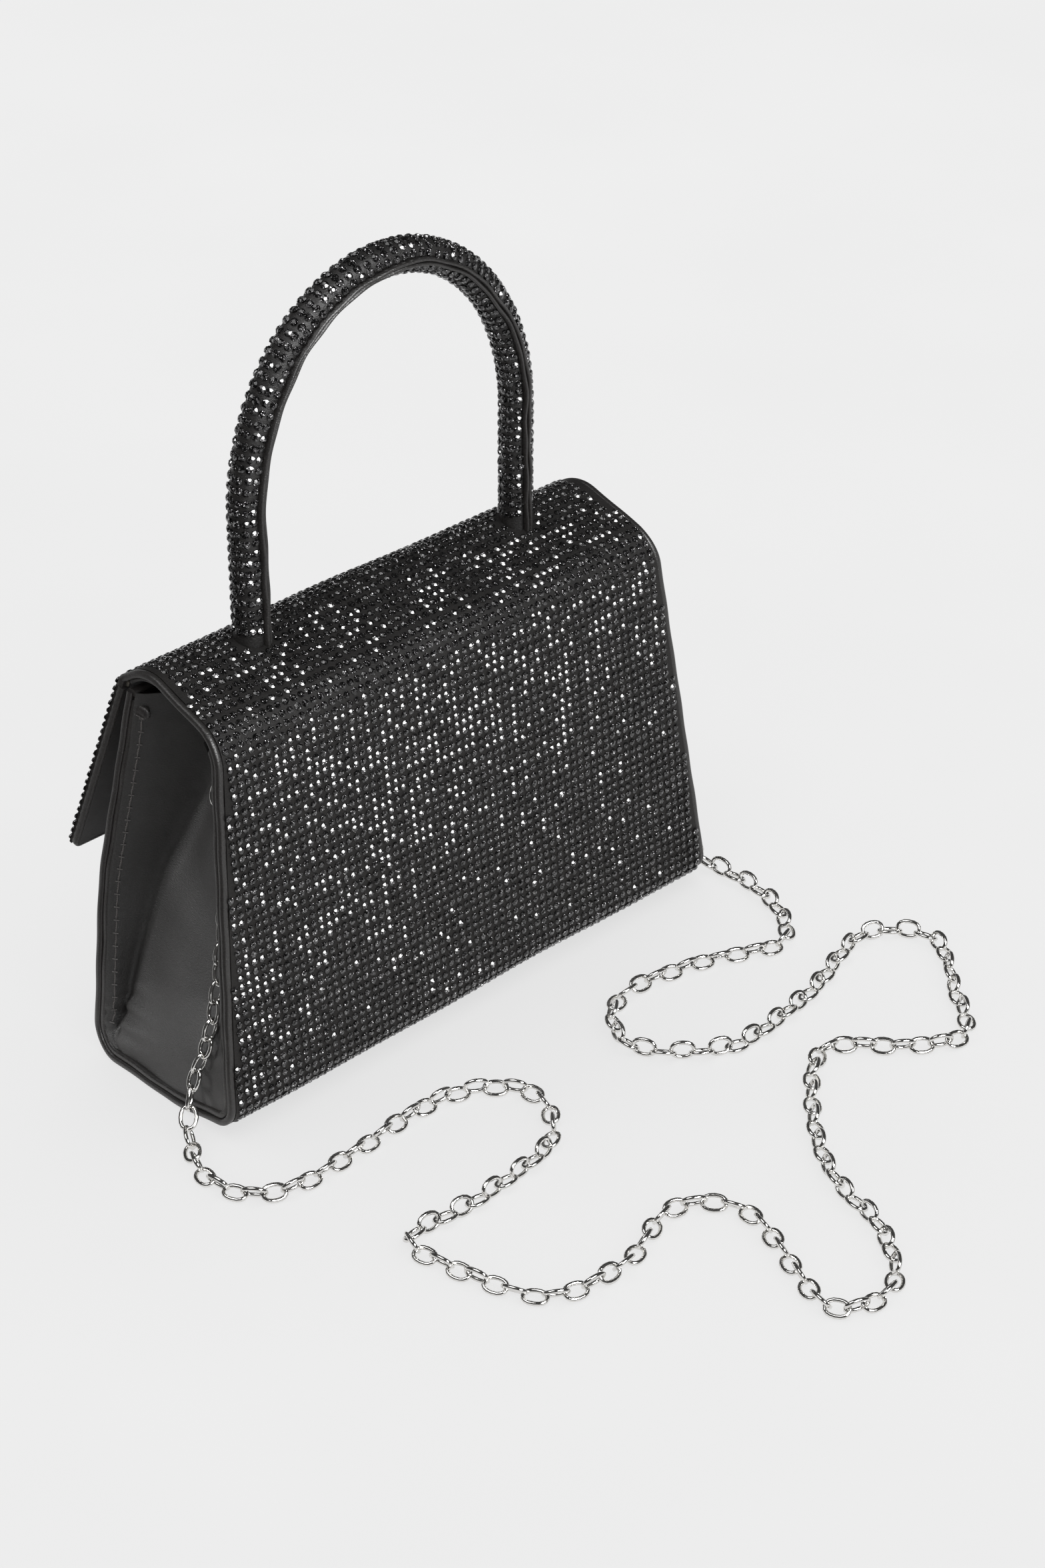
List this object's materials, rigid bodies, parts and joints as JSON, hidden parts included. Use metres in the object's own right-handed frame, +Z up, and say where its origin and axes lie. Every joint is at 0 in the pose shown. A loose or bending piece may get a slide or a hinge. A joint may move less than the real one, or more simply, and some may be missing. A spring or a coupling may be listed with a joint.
{
  "type": "evening bag",
  "caption": "Structured top-handle evening bag: stone-covered shell with folded gussets, hinged lid with a short snap flap, arched handle and a long metal chain strap.",
  "frame": {"origin": "centre of the bag's footprint on the surface it stands on, measured without the chain strap", "axes": "+X along the width, -Y towards the front flap, +Y towards the back panel, +Z up"},
  "size_m": [0.2593, 0.2702, 0.2497],
  "materials": {
    "stone_cloth": "small black faceted glass stones set close together on black satin, glittering",
    "satin": "black satin with a soft sheen",
    "board": "matt grey stiffening board",
    "lining": "plain dark woven lining",
    "nickel": "polished nickel",
    "chain": "polished silver-coloured cable chain",
    "snap_steel": "nickel-plated steel",
    "handle_core": "stiff cord core"
  },
  "bodies": {
    "shell": {"back_cover": "stone_cloth", "back_board": "board", "base_cover": "satin", "base_board": "board", "front_cover": "stone_cloth", "front_board": "board", "shell_lining": "lining", "shell_edge_right": "satin", "shell_edge_left": "satin", "slip_pocket": "lining", "gusset_front_right": "satin", "gusset_back_right": "satin", "gusset_front_left": "satin", "gusset_back_left": "satin", "snap_socket": "snap_steel", "d_ring_tab_right": "satin", "d_ring_tab_left": "satin", "d_ring_right": "nickel", "d_ring_left": "nickel", "chain_end_ring_right": "nickel", "chain_end_ring_left": "nickel", "chain_strap": "chain"},
    "lid": {"lid_cover": "stone_cloth", "lid_board": "board", "lid_lining": "lining", "lid_edge_right": "satin", "lid_edge_left": "satin", "handle_cover": "stone_cloth", "handle_core": "handle_core", "handle_piping": "satin", "handle_washer_right": "snap_steel", "handle_washer_left": "snap_steel"},
    "flap": {"flap_cover": "stone_cloth", "flap_board": "board", "flap_lining": "lining", "flap_edge": "satin", "snap_post": "snap_steel"}
  },
  "joints": [
    {"name": "lid_hinge", "type": "hinge", "parent": "shell", "child": "lid", "pos_m": [0, 0.01846, 0.13307], "axis": [-1, 0, 0], "range_deg": [0, 110]},
    {"name": "flap_hinge", "type": "hinge", "parent": "lid", "child": "flap", "pos_m": [0, -0.019, 0.134], "axis": [-1, 0, 0], "range_deg": [-6, 75], "stiffness_Nm_per_rad": 0.6}
  ]
}
